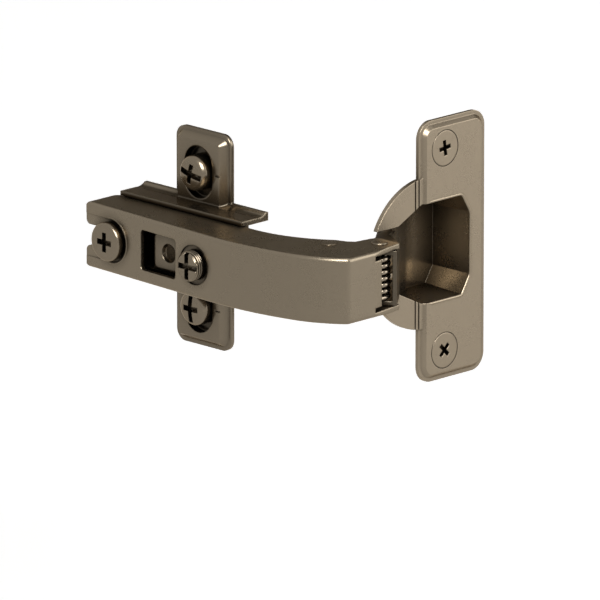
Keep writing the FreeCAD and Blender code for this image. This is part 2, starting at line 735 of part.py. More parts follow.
def rivet_pin(label, x, y, diameter, rivet, proud, reach):
    """A pin across the arm, headed over outside both flanges."""
    body = new_body(label)
    shaft = new_sketch(body, f"{label}_shaft", "plan")
    ring(shaft, x, y, diameter)
    pad(body, shaft, f"{label}_pad", f"2 * {reach}", both=True)
    for name, lift, back in (("top", reach, False), ("bottom", f"-{reach}", True)):
        head = new_sketch(body, f"{label}_{name}", "plan", lift=lift)
        ring(head, x, y, rivet)
        pad(body, head, f"{label}_{name}_pad", proud, back=back, taper="rivet_slope")
    return body


def plain_axle(label, x, y, diameter, reach):
    """A straight axle across the cup."""
    body = new_body(label)
    shaft = new_sketch(body, f"{label}_shaft", "plan")
    ring(shaft, x, y, diameter)
    pad(body, shaft, f"{label}_pad", f"2 * ({reach})", both=True)
    return body


def outer_link():
    """The outer link: a folded U whose two lugs taper from the spring pin to an eye in the cup."""
    body = new_body("outer_link")
    heading = "atan2(outer_pivot_py - tip_pin_y; outer_pivot_x - tip_pin_x)"
    outline = new_sketch(body, "LinkOutline", "plan", x="tip_pin_x", y="tip_pin_y", turn=heading)
    trace(outline, [
        ("0", "link_back", "link_back", 1),
        ("-link_back", "0"),
        ("-link_back", "-link_web"),
        ("link_web_run", "-link_web"),
        ("link_neck", "-link_neck_half"),
        ("outer_link_length", "-link_eye", "link_eye", 1),
        ("outer_link_length", "link_eye"),
    ])
    pad(body, outline, "LinkBlank", "2 * lug_out", both=True)
    gap = new_sketch(body, "LinkInside", "plan", x="tip_pin_x", y="tip_pin_y", turn=heading)
    trace(gap, box_corners("-link_back - 1", "-link_web + link_gauge", "outer_link_length + 4", "link_back + 1"))
    pocket(body, gap, "LinkInsideCut", "2 * lug_in", both=True)
    eyes = new_sketch(body, "LinkEyes", "plan")
    ring(eyes, "tip_pin_x", "tip_pin_y", "tip_pin + 2 * pin_play")
    ring(eyes, "outer_pivot_x", "outer_pivot_py", "cup_pin + 2 * pin_play")
    pocket(body, eyes, "LinkEyesCut", both=True)
    return body


def inner_link():
    """The inner link: a flat bar with an eye rolled at each end, wide at the arm and narrow in the cup."""
    body = new_body("inner_link")
    heading = "atan2(inner_pivot_py - rear_pin_y; inner_pivot_x - rear_pin_x)"
    place = {"x": "rear_pin_x", "y": "rear_pin_y", "turn": heading}
    bar = new_sketch(body, "BarOutline", "plan", **place)
    trace(bar, box_corners("0", "-inner_link_gauge / 2", "inner_link_length", "inner_link_gauge / 2"))
    pad(body, bar, "BarPad", "2 * inner_link_wide", both=True)
    for name, x, size in (("Rear", "0", "2 * inner_eye"), ("Cup", "inner_link_length", "2 * inner_cup_eye")):
        eye = new_sketch(body, f"{name}Eye", "plan", **place)
        ring(eye, x, "0", size)
        pad(body, eye, f"{name}EyePad", "2 * inner_link_wide", both=True)
    for name, lift, back in (("Top", "inner_link_narrow", True), ("Bottom", "-inner_link_narrow", False)):
        side = new_sketch(body, f"BarTrim{name}", "plan", lift=lift, **place)
        trace(side, box_corners("inner_link_taper", "-4", "inner_link_length + 4", "4"))
        pocket(body, side, f"BarTrim{name}Cut", "clear_cut", back=back)
    bores = new_sketch(body, "BarBores", "plan")
    ring(bores, "rear_pin_x", "rear_pin_y", "rear_pin + 2 * pin_play")
    ring(bores, "inner_pivot_x", "inner_pivot_py", "cup_pin + 2 * pin_play")
    pocket(body, bores, "BarBoresCut", both=True)
    return body


def loose_sketch(name, plane, lift):
    """A sketch that belongs to no body, on a plane across X or across Z."""
    sketch = doc.addObject("Sketcher::SketchObject", name)
    if plane == "side":
        sketch.Placement = FreeCAD.Placement(
            FreeCAD.Vector(number(lift), 0, 0), FreeCAD.Rotation(FreeCAD.Vector(1, 1, 1), 120)
        )
        sketch.setExpression("Placement.Base.x", bound(lift))
    elif plane == "along":
        sketch.Placement = FreeCAD.Placement(
            FreeCAD.Vector(0, number(lift), 0), FreeCAD.Rotation(FreeCAD.Vector(1, 0, 0), 90)
        )
        sketch.setExpression("Placement.Base.y", bound(lift))
    else:
        sketch.Placement = FreeCAD.Placement(FreeCAD.Vector(0, 0, number(lift)), FreeCAD.Rotation())
        sketch.setExpression("Placement.Base.z", bound(lift))
    return sketch


def grown(name, sketch, direction, length, taper=None, both=False):
    """A sketch drawn out along a direction into a solid."""
    feature = doc.addObject("Part::Extrusion", name)
    feature.Base = sketch
    feature.DirMode = "Custom"
    feature.Dir = direction
    feature.Solid = True
    feature.Symmetric = both
    feature.setExpression("LengthFwd", bound(length))
    if taper:
        feature.setExpression("TaperAngle", bound(taper))
    doc.recompute()
    return feature


def pair(kind, name, one, two):
    """One boolean of two objects."""
    feature = doc.addObject(f"Part::{kind}", name)
    feature.Base, feature.Tool = one, two
    doc.recompute()
    return feature


def many(kind, name, shapes):
    """One boolean of several objects."""
    feature = doc.addObject(f"Part::{kind}", name)
    feature.Shapes = shapes
    doc.recompute()
    return feature


INTO_DOOR = FreeCAD.Vector(-1, 0, 0)
OUT_OF_DOOR = FreeCAD.Vector(1, 0, 0)
UP = FreeCAD.Vector(0, 0, 1)


def pocket_corners(grow):
    """The eight-sided mouth of the cup, open towards the arm, grown on all sides by a wall."""
    right = f"cup_y + pocket_end + {grow}"
    upper = f"cup_y + pocket_right + {grow} * 0.5"
    left = f"cup_y + pocket_left - {grow} * 0.5"
    channel = f"cup_y + channel_left - {grow}"
    return [
        (right, f"-pocket_end_half - {grow} * 0.5"),
        (right, f"pocket_end_half + {grow} * 0.5"),
        (upper, f"pocket_half + {grow}"),
        (left, f"pocket_half + {grow}"),
        (channel, f"channel_half + {grow}"),
        (channel, f"-channel_half - {grow}"),
        (left, f"-pocket_half - {grow}"),
        (upper, f"-pocket_half - {grow}"),
    ]


def scoop_floor(name, grow, lip):
    """A block whose underside is the cup's floor: level near the screws, then bent up towards the arm side."""
    profile = loose_sketch(name + "Profile", "plan", "0")
    trace(profile, [
        ("cup_face_x + 3", "cup_y + pocket_end + 4"),
        ("cup_face_x + 3", f"cup_y + scoop_left - {lip}"),
        (f"cup_face_x - scoop_depth - {grow}", f"cup_y + scoop_left - {lip}"),
        (f"cup_face_x - scoop_depth - {grow}", "cup_y + scoop_left"),
        (f"cup_face_x - scoop_rise_depth - {grow}", "cup_y + scoop_rise"),
        (f"cup_face_x - floor_bend_depth - {grow}", "cup_y + floor_bend", f"floor_bend_radius + {grow}", -1),
        (f"cup_face_x - cup_depth - {grow}", "cup_y + floor_left"),
        (f"cup_face_x - cup_depth - {grow}", "cup_y + pocket_end + 4"),
    ])
    return grown(name, profile, UP, "4 * pocket_half", both=True)


def hinge_cup():
    """The cup: a drawn pocket with a half disc and a screw wing, and two cheeks that carry the axles."""
    rim = loose_sketch("WingRim", "side", "seat_x")
    trace(rim, round_box("cup_y + cup_wing_left", "-cup_wing_half", "cup_y + cup_wing_right", "cup_wing_half",
                         "cup_wing_corner"))
    rim_plate = grown("WingRimPlate", rim, OUT_OF_DOOR, "cup_wing_flange")
    face = loose_sketch("WingFace", "side", "seat_x + cup_wing_flange")
    trace(face, round_box("cup_y + cup_wing_left + cup_wing_rim", "-cup_wing_half + cup_wing_rim",
                          "cup_y + cup_wing_right - cup_wing_rim", "cup_wing_half - cup_wing_rim",
                          "cup_wing_corner - cup_wing_rim"))
    face_plate = grown("WingFacePlate", face, OUT_OF_DOOR, "cup_seat - cup_wing_flange",
                       taper="-atan(cup_wing_slope / (cup_seat - cup_wing_flange)) / 1 deg")
    disc = loose_sketch("DiscOutline", "side", "seat_x")
    ring(disc, "cup_y + disc_offset", "0", "2 * disc_radius")
    disc_blank = grown("DiscBlank", disc, OUT_OF_DOOR, "cup_seat - disc_drop")
    grooves = loose_sketch("DiscGrooves", "side", "disc_face_x - groove_depth")
    for start in ("groove_first", "groove_second"):
        trace(grooves, box_corners(f"cup_y + {start}", "-24", f"cup_y + {start} + groove_width", "24"))
    disc_plate = pair("Cut", "DiscPlate", disc_blank, grown("DiscGrooveCut", grooves, OUT_OF_DOOR, "clear_cut"))
    shell = loose_sketch("BarrelOutline", "side", "seat_x + 0.5")
    trace(shell, pocket_corners("cup_wall"))
    shell_block = grown("BarrelBlock", shell, INTO_DOOR, "cup_depth + 2", taper="-cup_draft")
    barrel = pair("Common", "Barrel", shell_block, scoop_floor("BarrelFloor", "cup_wall", "floor_lip"))
    outside = many("MultiFuse", "CupOutside", [rim_plate, face_plate, disc_plate, barrel])
    mouth = loose_sketch("MouthOutline", "side", "cup_face_x + 0.5")
    trace(mouth, pocket_corners("0"))
    mouth_block = grown("MouthBlock", mouth, INTO_DOOR, "cup_depth + 3", taper="-cup_draft")
    mouth_space = pair("Common", "MouthSpace", mouth_block, scoop_floor("MouthFloor", "0", "pocket_right"))
    channel = loose_sketch("ChannelOutline", "side", "cup_face_x + 0.5")
    trace(channel, box_corners("cup_y - 24", "-channel_half", "cup_y + channel_left + 1", "channel_half"))
    channel_space = grown("ChannelSpace", channel, INTO_DOOR, "channel_depth")
    open_cup = pair("Cut", "OpenCup", outside, many("MultiFuse", "CupSpaces", [mouth_space, channel_space]))
    cheeks = []
    for name, low in (("Upper", "cheek_out - gauge * 0.85"), ("Lower", "-cheek_out")):
        cheek = loose_sketch(f"{name}Cheek", "plan", low)
        trace(cheek, [
            ("cup_face_x - cheek_foot_depth", "cup_y + cheek_foot"),
            ("outer_pivot_x", "outer_pivot_py + cheek_round", "cheek_round", -1),
            ("outer_pivot_x + cheek_round", "outer_pivot_py"),
            ("inner_pivot_x + cheek_round", "inner_pivot_py - seat_left - cup_pin / 2"),
            ("inner_pivot_x + cheek_round", "inner_pivot_py - seat_left - cup_pin / 2 - 0.5"),
            ("inner_pivot_x + cheek_round - 0.5", "inner_pivot_py - seat_left - cup_pin / 2 - cheek_lip"),
            ("inner_pivot_x - 1.0", "inner_pivot_py - seat_left - cup_pin / 2 - cheek_lip"),
            ("inner_pivot_x - 2.2", "inner_pivot_py - seat_left - cup_pin / 2 + 0.4"),
            ("cup_face_x - scoop_depth - 0.5", "cup_y + scoop_left + 0.3"),
        ])
        cheeks.append(grown(f"{name}CheekPlate", cheek, UP, "gauge * 0.85"))
    bored = loose_sketch("AxleBores", "plan", "0")
    ring(bored, "outer_pivot_x", "outer_pivot_py", "cup_pin")
    holes = grown("AxleBoreCut", bored, UP, "through_cut", both=True)
    seat = loose_sketch("AxleSeat", "plan", "0")
    trace(seat, box_corners("inner_pivot_x - cup_pin / 2 - 0.3", "inner_pivot_py - cup_pin / 2 - seat_left",
                            "cup_face_x + 1", "inner_pivot_py + cup_pin / 2 + seat_open"))
    seat_cut = grown("AxleSeatCut", seat, UP, "seat_span", both=True)
    tools = [holes, seat_cut]
    for name, sign in (("Upper", ""), ("Lower", "-")):
        cone = doc.addObject("Part::Cone", f"{name}Countersink")
        cone.setExpression("Radius1", bound("cup_screw_shank / 2 + 0.1"))
        cone.setExpression("Radius2", bound("cup_head / 2 + 0.1"))
        cone.setExpression("Height", bound("cup_head_cone"))
        cone.Placement = FreeCAD.Placement(FreeCAD.Vector(0, 0, 0), FreeCAD.Rotation(FreeCAD.Vector(0, 1, 0), 90))
        cone.setExpression("Placement.Base.x", bound("cup_face_x - cup_head_cone + 0.001"))
        cone.setExpression("Placement.Base.y", bound("cup_y + cup_screw_y"))
        cone.setExpression("Placement.Base.z", bound(f"{sign}cup_screw_pitch / 2"))
        tools.append(cone)
        drill = doc.addObject("Part::Cylinder", f"{name}ScrewHole")
        drill.setExpression("Radius", bound("cup_screw_shank / 2 + 0.1"))
        drill.setExpression("Height", bound("through_cut / 2"))
        drill.Placement = FreeCAD.Placement(FreeCAD.Vector(0, 0, 0), FreeCAD.Rotation(FreeCAD.Vector(0, 1, 0), 90))
        drill.setExpression("Placement.Base.x", bound("cup_face_x - through_cut / 4"))
        drill.setExpression("Placement.Base.y", bound("cup_y + cup_screw_y"))
        drill.setExpression("Placement.Base.z", bound(f"{sign}cup_screw_pitch / 2"))
        tools.append(drill)
    with_cheeks = many("MultiFuse", "CupWithCheeks", [open_cup] + cheeks)
    cup = pair("Cut", "hinge_cup", with_cheeks, many("MultiFuse", "CupTools", tools))
    cup.Label = "hinge_cup"
    return cup


def cup_screw(label, sign, turn):
    """A countersunk screw through the cup's wing."""
    body = new_body(label)
    place = f"{sign}cup_screw_pitch / 2"
    profile = new_sketch(body, f"{label}_profile", "plan", lift=place, y="cup_y + cup_screw_y")
    trace(profile, [
        ("cup_face_x", "0"),
        ("cup_face_x", "cup_head / 2"),
        ("cup_face_x - cup_head_cone", "cup_screw_shank / 2"),
        ("seat_x - cup_screw_reach + 0.6", "cup_screw_shank / 2"),
        ("seat_x - cup_screw_reach", "cup_screw_shank / 2 - 0.6"),
        ("seat_x - cup_screw_reach", "0"),
    ])
    feature = body.newObject("PartDesign::Revolution", f"{label}_turn")
    feature.Profile = profile
    feature.ReferenceAxis = (profile, ["H_Axis"])
    feature.Angle = 360.0
    settled(feature, profile)
    for k, spin in enumerate((turn, turn + 90)):
        arm = new_sketch(body, f"{label}_cross{k}", "side", lift="cup_face_x - cup_cross_depth",
                         x="cup_y + cup_screw_y", y=place, turn=str(spin))
        trace(arm, box_corners("-cup_cross / 2", "-cup_cross_width / 2", "cup_cross / 2", "cup_cross_width / 2"))
        pocket(body, arm, f"{label}_crosscut{k}", "clear_cut", back=True)
    return body


def closing_spring():
    """The closing spring: a close coil round the tip pin, one leg along the arm's tongue and one along the link."""
    wire, radius, turns = number("spring_wire"), number("spring_radius"), number("spring_turns")
    height, pitch = number("spring_height"), number("spring_pitch")
    centre = FreeCAD.Vector(number("tip_pin_x"), number("tip_pin_y"), -height / 2)
    coil = Part.makeHelix(pitch, height, radius)
    coil.translate(centre)
    edge = coil.Edges[0]
    start, end = edge.valueAt(edge.FirstParameter), edge.valueAt(edge.LastParameter)
    last = math.radians(360 * turns)
    out_start = FreeCAD.Vector(0, -1, 0)
    out_end = FreeCAD.Vector(-math.sin(last), math.cos(last), 0)
    arm_end = start + out_start * number("spring_arm_leg")
    link_end = end + out_end * number("spring_link_leg")
    path = Part.Wire([Part.makeLine(arm_end, start), edge, Part.makeLine(end, link_end)])
    section = Part.Wire([Part.makeCircle(wire / 2, arm_end, out_start)])
    spring = doc.addObject("Part::Feature", "closing_spring")
    spring.Shape = path.makePipeShell([section], True, True)
    spring.Label = "closing_spring"
    return spring


PIECES = [
    mounting_plate(),
    plate_screw("upper_plate_screw", "", -12),
    plate_screw("lower_plate_screw", "-", 90),
    hinge_arm(),
    clamp_screw(),
    side_adjusting_screw(),
    rivet_pin("spring_pin", "tip_pin_x", "tip_pin_y", "tip_pin", "tip_rivet", "tip_rivet_height", "arm_half"),
    rivet_pin("rear_link_pin", "rear_pin_x", "rear_pin_y", "rear_pin", "rear_rivet", "rear_rivet_height", "arm_half"),
    closing_spring(),
    outer_link(),
    inner_link(),
    plain_axle("outer_cup_axle", "outer_pivot_x", "outer_pivot_py", "cup_pin", "lug_out"),
    plain_axle("inner_cup_axle", "inner_pivot_x", "inner_pivot_py", "cup_pin", "cheek_out"),
    hinge_cup(),
    cup_screw("upper_cup_screw", "", 8),
    cup_screw("lower_cup_screw", "-", 45),
]

doc.recompute()
for item in doc.Objects:
    if {"Invalid", "Error"} & set(item.State):
        raise RuntimeError(f"{item.Label} did not build: {item.State}")
os.makedirs("parts", exist_ok=True)
for piece in PIECES:
    shape = piece.Shape
    if shape.isNull() or not shape.isValid():
        raise RuntimeError(f"{piece.Label} is not a valid solid")
    shape.exportStep(f"parts/{piece.Label}.step")
    box = shape.BoundBox
    print(f"{piece.Label}: {len(shape.Solids)} solid, {shape.Volume:.1f} mm3, x {box.XMin:.1f} {box.XMax:.1f}, "
          f"y {box.YMin:.1f} {box.YMax:.1f}, z {box.ZMin:.1f} {box.ZMax:.1f}")
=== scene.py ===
"""Looks of the concealed corner-door hinge: plated sheet steel, screws, spring and a plain white studio.

Lengths of the hinge's own pieces are in millimetres of its frame: X along the arm, Y into the panel, Z up.
Lengths of the studio are in metres.
"""

import logging
import math
from dataclasses import dataclass, field
from enum import Enum
from typing import ClassVar

import bmesh
import bpy
import numpy as np
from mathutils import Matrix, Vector


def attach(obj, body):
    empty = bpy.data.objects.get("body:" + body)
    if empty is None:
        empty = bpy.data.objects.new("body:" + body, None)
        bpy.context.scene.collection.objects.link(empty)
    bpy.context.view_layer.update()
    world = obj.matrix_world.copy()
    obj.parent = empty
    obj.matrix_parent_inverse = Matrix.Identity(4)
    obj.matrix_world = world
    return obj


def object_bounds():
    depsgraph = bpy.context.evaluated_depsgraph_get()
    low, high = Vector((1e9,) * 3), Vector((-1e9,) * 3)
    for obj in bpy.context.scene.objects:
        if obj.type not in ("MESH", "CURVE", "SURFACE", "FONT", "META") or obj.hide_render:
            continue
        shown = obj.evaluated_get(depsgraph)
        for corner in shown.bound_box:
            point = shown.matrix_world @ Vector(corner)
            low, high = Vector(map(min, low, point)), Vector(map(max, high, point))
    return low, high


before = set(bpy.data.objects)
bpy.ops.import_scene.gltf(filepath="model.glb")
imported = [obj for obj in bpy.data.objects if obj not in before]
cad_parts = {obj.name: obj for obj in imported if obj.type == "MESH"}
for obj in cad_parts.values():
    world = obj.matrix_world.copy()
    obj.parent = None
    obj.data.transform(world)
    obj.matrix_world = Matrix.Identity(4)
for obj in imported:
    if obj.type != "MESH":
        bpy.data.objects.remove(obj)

CAD_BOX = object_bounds()
LOG = logging.getLogger("hinge")
MM = 0.001
FULL_TURN = 2 * math.pi
MERGE_DISTANCE = 1e-7  # metres: points nearer than this are one point

CUP_FACE = 46.1  # X of the face of the cup's screw wing
CUP_SCREW_LINE = 31.1  # Y of the two cup screws
CUP_SCREW_PITCH = 48.0  # distance between them, along Z

WHITE = (1.0, 1.0, 1.0, 1.0)
MATT = 0.9  # roughness of the studio's paint and paper
SQUARE = np.array([[-1, -1], [1, -1], [1, 1], [-1, 1]]) / 2  # corners of a unit square about its middle


class Plating(Enum):
    """How a finish's fine grain lies on the metal."""

    MOTTLED = "mottled"
    BRUSHED = "brushed"


@dataclass(frozen=True)
class MetalFinish:
    """One metal surface.

    Attributes:
        name: material name.
        colour: linear base colour.
        shade: how much the colour changes over the surface, as a fraction.
        roughness: middle roughness.
        spread: how far the roughness moves up and down from the middle.
        grain_size: size of the grain in millimetres.
        relief: height of the grain in millimetres.
        plating: mottled or brushed.
        edge: radius in millimetres over which sharp edges catch the light.
        nook_shade: reach in millimetres over which painted shade darkens the colour in nooks, where ambient
            occlusion finds walls nearby.
        METALLIC: how metallic every finish is.
        EDGE_TINT: colour of the mirror image at a grazing angle.
        BRUSH_STRETCH: how many times longer brushed grain is along X than across it.
        RELIEF_STRENGTH: how strongly the grain's height turns the normal.
        EDGE_SAMPLES: rays that look for a sharp edge close by.
    """

    name: str
    colour: tuple[float, float, float]
    shade: float
    roughness: float
    spread: float
    grain_size: float
    relief: float
    plating: Plating = Plating.MOTTLED
    edge: float = 0.30
    nook_shade: float = 2.0

    METALLIC: ClassVar[float] = 0.85
    EDGE_TINT: ClassVar[tuple[float, float, float, float]] = (0.80, 0.70, 0.58, 1.0)
    BRUSH_STRETCH: ClassVar[float] = 14.0
    RELIEF_STRENGTH: ClassVar[float] = 0.6
    EDGE_SAMPLES: ClassVar[int] = 8

    def build(self) -> bpy.types.Material:
        """Makes the material.

        Returns:
            The new material, with the grain group feeding colour, roughness and normal.
        """
        material = bpy.data.materials.new(self.name)
        material.use_nodes = True
        tree = material.node_tree
        shader = tree.nodes["Principled BSDF"]
        shader.inputs["Metallic"].default_value = self.METALLIC
        shader.inputs["Specular Tint"].default_value = self.EDGE_TINT
        place = tree.nodes.new("ShaderNodeTexCoord")
        grain = self._grain(tree)
        soft_edge = tree.nodes.new("ShaderNodeBevel")
        soft_edge.samples = self.EDGE_SAMPLES
        soft_edge.inputs["Radius"].default_value = self.edge * MM
        bump = tree.nodes.new("ShaderNodeBump")
        bump.inputs["Distance"].default_value = self.relief * MM
        bump.inputs["Strength"].default_value = self.RELIEF_STRENGTH
        link = tree.links.new
        link(place.outputs["Object"], grain.inputs["Place"])
        link(grain.outputs["Colour"], shader.inputs["Base Color"])
        link(grain.outputs["Roughness"], shader.inputs["Roughness"])
        link(grain.outputs["Height"], bump.inputs["Height"])
        link(soft_edge.outputs["Normal"], bump.inputs["Normal"])
        link(bump.outputs["Normal"], shader.inputs["Normal"])
        return material

    def _grain(self, tree: bpy.types.NodeTree) -> bpy.types.Node:
        """Places the grain group in a material, with this finish's values.

        Args:
            tree: the material's tree.

        Returns:
            The group's node.
        """
        stretch = self.BRUSH_STRETCH if self.plating is Plating.BRUSHED else 1.0
        values = {
            "Colour": (*self.colour, 1.0),
            "Shade": self.shade,
            "Roughness": self.roughness,
            "Spread": self.spread,
            "Scale": 1.0 / (self.grain_size * MM),
            "Stretch": 1.0 / stretch,
            # reach of the painted shade in nooks
            "Nook Shade": self.nook_shade * MM,
        }
        grain = tree.nodes.new("ShaderNodeGroup")
        grain.node_tree = GrainGroup.get()
        for socket, value in values.items():
            grain.inputs[socket].default_value = value
        return grain


class GrainGroup:
    """The plating's faint grain and its painted shade in nooks, shared by every metal finish.

    Attributes:
        NAME: name of the node group.
        SOCKETS: the group's inputs and outputs, and the kind of each.
        FINE_DETAIL: octaves of the fine noise.
        BROAD_DETAIL: octaves of the broad noise.
        BROAD_SCALE: scale of the broad noise, as a share of the fine one's.
        NOOK_SAMPLES: rays that look for a nook's walls.
        NOOK_POWER: power that makes the painted shade in nooks deeper than their open share.
    """

    NAME: ClassVar[str] = "plated grain"
    SOCKETS: ClassVar[dict[str, dict[str, str]]] = {
        "INPUT": {
            "Place": "NodeSocketVector",
            "Colour": "NodeSocketColor",
            "Shade": "NodeSocketFloat",
            "Roughness": "NodeSocketFloat",
            "Spread": "NodeSocketFloat",
            "Scale": "NodeSocketFloat",
            "Stretch": "NodeSocketFloat",
            "Nook Shade": "NodeSocketFloat",
        },
        "OUTPUT": {
            "Colour": "NodeSocketColor",
            "Roughness": "NodeSocketFloat",
            "Height": "NodeSocketFloat",
        },
    }
    FINE_DETAIL: ClassVar[float] = 4.0
    BROAD_DETAIL: ClassVar[float] = 2.0
    BROAD_SCALE: ClassVar[float] = 0.06
    NOOK_SAMPLES: ClassVar[int] = 12
    NOOK_POWER: ClassVar[float] = 1.6

    @classmethod
    def get(cls) -> bpy.types.NodeTree:
        """Returns the group, built on first use."""
        return bpy.data.node_groups.get(cls.NAME) or cls._build()

    @classmethod
    def _build(cls) -> bpy.types.NodeTree:
        """Builds the group.

        A fine noise and a broad noise, each from 0 to 1, are added and lowered by 1. The result, from -1
        to 1, moves the roughness and the colour, and painted shade in the nooks then darkens the colour.

        Returns:
            The node group with Colour, Roughness and Height outputs.
        """
        tree = bpy.data.node_groups.new(cls.NAME, "ShaderNodeTree")
        for side, sockets in cls.SOCKETS.items():
            for name, kind in sockets.items():
                tree.interface.new_socket(name, in_out=side, socket_type=kind)
        nodes, link = tree.nodes, tree.links.new
        source = nodes.new("NodeGroupInput")
        result = nodes.new("NodeGroupOutput")
        place = cls._stretched(tree, source.outputs["Place"], source.outputs["Stretch"])
        fine = cls._noise(tree, place, source.outputs["Scale"], cls.FINE_DETAIL)
        broad_scale = cls._math(tree, "MULTIPLY", source.outputs["Scale"], cls.BROAD_SCALE)
        broad = cls._noise(tree, place, broad_scale, cls.BROAD_DETAIL)
        both = cls._math(tree, "ADD", fine, broad)
        centred = cls._math(tree, "SUBTRACT", both, 1.0)
        shade = cls._math(tree, "MULTIPLY_ADD", centred, source.outputs["Shade"], 1.0)
        # painted shade: the colour is darkened in nooks by the share of open surroundings
        open_share = cls._painted_shade(tree, source.outputs["Nook Shade"])
        tint = nodes.new("ShaderNodeVectorMath")
        tint.operation = "SCALE"
        link(source.outputs["Colour"], tint.inputs["Vector"])
        link(cls._math(tree, "MULTIPLY", shade, open_share), tint.inputs["Scale"])
        middle, spread = source.outputs["Roughness"], source.outputs["Spread"]
        link(tint.outputs["Vector"], result.inputs["Colour"])
        link(cls._math(tree, "MULTIPLY_ADD", centred, spread, middle), result.inputs["Roughness"])
        link(fine, result.inputs["Height"])
        return tree

    @staticmethod
    def _stretched(
        tree: bpy.types.NodeTree, place: bpy.types.NodeSocket, share: bpy.types.NodeSocket
    ) -> bpy.types.NodeSocket:
        """Multiplies the place's X by a share, which draws the grain out along X.

        Args:
            tree: the group's tree.
            place: the place on the surface.
            share: what X is multiplied by.

        Returns:
            The stretched place.
        """
        squeeze = tree.nodes.new("ShaderNodeCombineXYZ")
        squeeze.inputs["Y"].default_value = 1.0
        squeeze.inputs["Z"].default_value = 1.0
        tree.links.new(share, squeeze.inputs["X"])
        along = tree.nodes.new("ShaderNodeVectorMath")
        along.operation = "MULTIPLY"
        tree.links.new(place, along.inputs[0])
        tree.links.new(squeeze.outputs["Vector"], along.inputs[1])
        return along.outputs["Vector"]

    @classmethod
    def _painted_shade(cls, tree: bpy.types.NodeTree, reach: bpy.types.NodeSocket) -> bpy.types.NodeSocket:
        """Adds the painted shade of nooks: the share of open surroundings within the reach, to the nook
        power.

        Args:
            tree: the group's tree.
            reach: how far a nook's walls count.

        Returns:
            A value socket, 1 in the open and near 0 in a deep recess.
        """
        open_share = tree.nodes.new("ShaderNodeAmbientOcclusion")
        open_share.samples = cls.NOOK_SAMPLES
        tree.links.new(reach, open_share.inputs["Distance"])
        return cls._math(tree, "POWER", open_share.outputs["AO"], cls.NOOK_POWER)

    @staticmethod
    def _noise(
        tree: bpy.types.NodeTree, place: bpy.types.NodeSocket, scale: bpy.types.NodeSocket, detail: float
    ) -> bpy.types.NodeSocket:
        """Adds one noise texture.

        Args:
            tree: the group's tree.
            place: the place on the surface.
            scale: how many grains lie in a metre.
            detail: number of octaves.

        Returns:
            The noise's value socket, from 0 to 1.
        """
        noise = tree.nodes.new("ShaderNodeTexNoise")
        noise.inputs["Detail"].default_value = detail
        tree.links.new(place, noise.inputs["Vector"])
        tree.links.new(scale, noise.inputs["Scale"])
        return noise.outputs["Fac"]

    @staticmethod
    def _math(
        tree: bpy.types.NodeTree, operation: str, *values: bpy.types.NodeSocket | float
    ) -> bpy.types.NodeSocket:
        """Adds one Math node.

        Args:
            tree: the group's tree.
            operation: name of the node's operation.
            values: what it works on, in order, each a socket or a plain number.

        Returns:
            The node's value socket.
        """
        node = tree.nodes.new("ShaderNodeMath")
        node.operation = operation
        for socket, value in zip(node.inputs, values):
            if isinstance(value, (int, float)):
                socket.default_value = value
            else:
                tree.links.new(value, socket)
        return node.outputs["Value"]


PLATE_STEEL = MetalFinish(
    "plated plate steel",
    colour=(0.165, 0.136, 0.098),
    shade=0.06,
    roughness=0.21,
    spread=0.03,
    grain_size=0.35,
    relief=0.003,
    edge=0.7,
    nook_shade=6.0,
)
ARM_STEEL = MetalFinish(
    "plated arm steel",
    colour=(0.190, 0.157, 0.113),
    shade=0.06,
    roughness=0.28,
    spread=0.04,
    grain_size=0.35,
    relief=0.003,
    edge=0.6,
    nook_shade=3.0,
)
CUP_STEEL = MetalFinish(
    "plated cup steel",
    colour=(0.240, 0.197, 0.142),
    shade=0.06,
    roughness=0.28,
    spread=0.04,
    grain_size=0.35,
    relief=0.003,
    edge=0.2,
    nook_shade=9.0,
)
# painted shade: the links' colour is about half the other plated parts', standing in for the shade that falls
# on them between the arm and the cup
SHADED_LINK_STEEL = MetalFinish(
    "plated link steel, painted shade",
    colour=(0.090, 0.074, 0.053),
    shade=0.10,
    roughness=0.30,
    spread=0.06,
    grain_size=0.30,
    relief=0.004,
)
SCREW_STEEL = MetalFinish(
    "plated screw steel",
    colour=(0.180, 0.148, 0.107),
    shade=0.10,
    roughness=0.20,
    spread=0.05,
    grain_size=0.25,
    relief=0.004,
    nook_shade=2.5,
)
FLUSH_STEEL = MetalFinish(
    "flush screw steel",
    colour=(0.235, 0.193, 0.139),
    shade=0.08,
    roughness=0.29,
    spread=0.05,
    grain_size=0.30,
    relief=0.003,
    nook_shade=2.5,
)
PIN_STEEL = MetalFinish(
    "rivet steel",
    colour=(0.195, 0.161, 0.116),
    shade=0.10,
    roughness=0.28,
    spread=0.05,
    grain_size=0.25,
    relief=0.003,
)
SPRING_STEEL = MetalFinish(
    "spring wire",
    colour=(0.240, 0.200, 0.149),
    shade=0.12,
    roughness=0.16,
    spread=0.05,
    grain_size=0.30,
    relief=0.003,
    plating=Plating.BRUSHED,
    nook_shade=0.8,
)
# painted shadow: near-black finish of the rings that stand in for the shade in the gaps round the cup screws'
# heads
GAP_SHADE = MetalFinish(
    "painted gap shadow",
    colour=(0.012, 0.010, 0.008),
    shade=0.10,
    roughness=0.60,
    spread=0.05,
    grain_size=0.30,
    relief=0.002,
)


def dress(finish: bpy.types.Material, *nodes: str) -> None:
    """Gives nodes of the frame one material.

    Args:
        finish: the material.
        nodes: names of the frame's nodes.
    """
    for name in nodes:
        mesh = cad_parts[name].data
        mesh.materials.clear()
        mesh.materials.append(finish)
        LOG.info("%s has the finish %s", name, finish.name)


def points(x: np.ndarray | float, y: np.ndarray | float, z: np.ndarray | float) -> np.ndarray:
    """Joins three coordinates, spread to one shape, into points."""
    return np.stack(np.broadcast_arrays(x, y, z), axis=-1)


